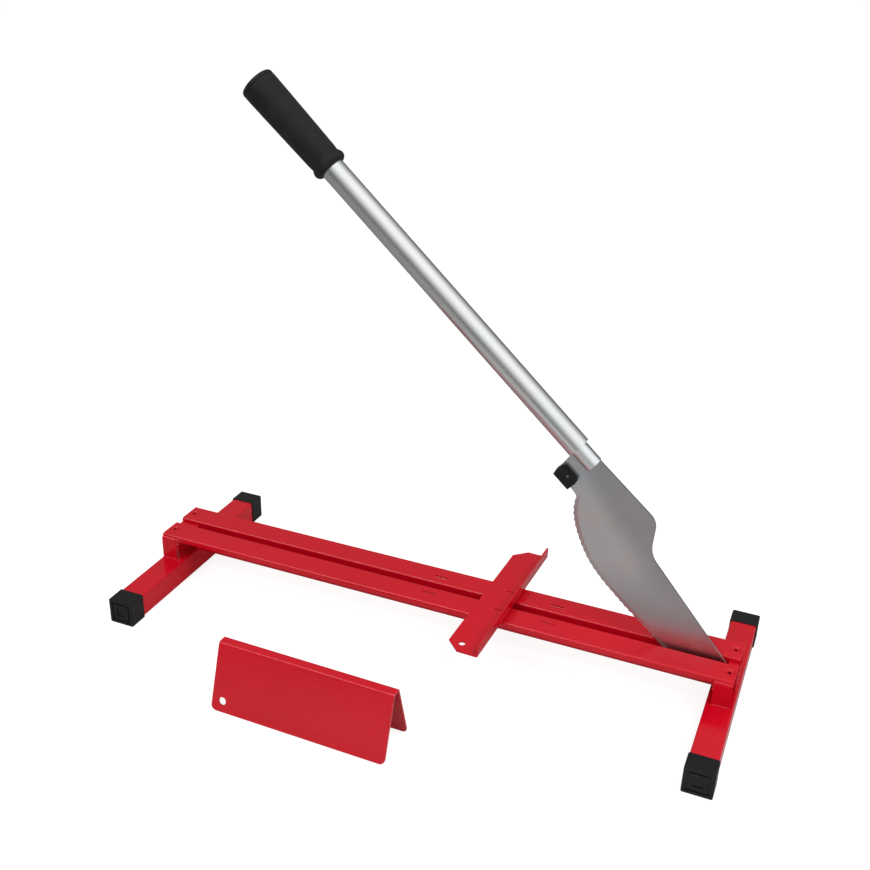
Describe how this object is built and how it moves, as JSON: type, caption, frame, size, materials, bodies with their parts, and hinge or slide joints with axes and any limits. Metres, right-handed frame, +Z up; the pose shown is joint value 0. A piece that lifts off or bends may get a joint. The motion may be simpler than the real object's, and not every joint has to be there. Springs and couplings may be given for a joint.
{
  "type": "panel guillotine",
  "caption": "Bench guillotine for laminate boards: slotted red bed on two feet, serrated blade on a long lever, bent fence plate and a loose folded board support.",
  "frame": {"origin": "bottom centre of the whole object's box, on the surface that it stands on", "axes": "+X along the bed towards the blade's pivot, +Y towards the far side, +Z up"},
  "size_m": [0.711, 0.3826, 0.6244],
  "materials": {
    "red_paint": "glossy powder coat",
    "black_plastic": "satin moulded",
    "black_rubber": "matte",
    "zinc_steel": "zinc plated",
    "bright_tube": "bright plated",
    "blade_steel": "ground, satin",
    "dark_steel": "blackened"
  },
  "bodies": {
    "base": {"left_foot_tube": "red_paint", "right_foot_tube": "red_paint", "front_left_cap": "black_plastic", "front_right_cap": "black_plastic", "back_left_cap": "black_plastic", "back_right_cap": "black_plastic", "front_left_saddle": "red_paint", "front_right_saddle": "red_paint", "back_left_saddle": "red_paint", "back_right_saddle": "red_paint", "front_left_rail_screw": "red_paint", "front_right_rail_screw": "red_paint", "back_left_rail_screw": "red_paint", "back_right_rail_screw": "red_paint", "front_left_rail_nut": "zinc_steel", "front_right_rail_nut": "zinc_steel", "back_left_rail_nut": "zinc_steel", "back_right_rail_nut": "zinc_steel", "front_rail": "red_paint", "back_rail": "red_paint", "left_spacer": "red_paint", "right_spacer": "red_paint", "pivot_bolt": "zinc_steel", "pivot_nut": "zinc_steel", "front_pivot_washer": "dark_steel", "back_pivot_washer": "dark_steel"},
    "fence": {"fence": "red_paint"},
    "lever": {"blade": "blade_steel", "lever_stub": "bright_tube", "lower_tang_pin": "dark_steel", "upper_tang_pin": "dark_steel", "lever_tube": "bright_tube", "grip": "black_plastic", "stop_block": "black_rubber", "stop_pin": "zinc_steel"},
    "support": {"panel_support": "red_paint"}
  },
  "joints": [
    {"name": "lever_hinge", "type": "hinge", "parent": "base", "child": "lever", "pos_m": [0.323, 0.04446, 0.044], "axis": [0, 1, 0], "range_deg": [-31, 4]},
    {"name": "fence_lift", "type": "slide", "parent": "base", "child": "fence", "axis": [0, 0, 1], "range_m": [0, 0.014]},
    {"name": "support_shift", "type": "slide", "parent": "base", "child": "support", "axis": [0, -1, 0], "range_m": [0, 0.15]}
  ]
}
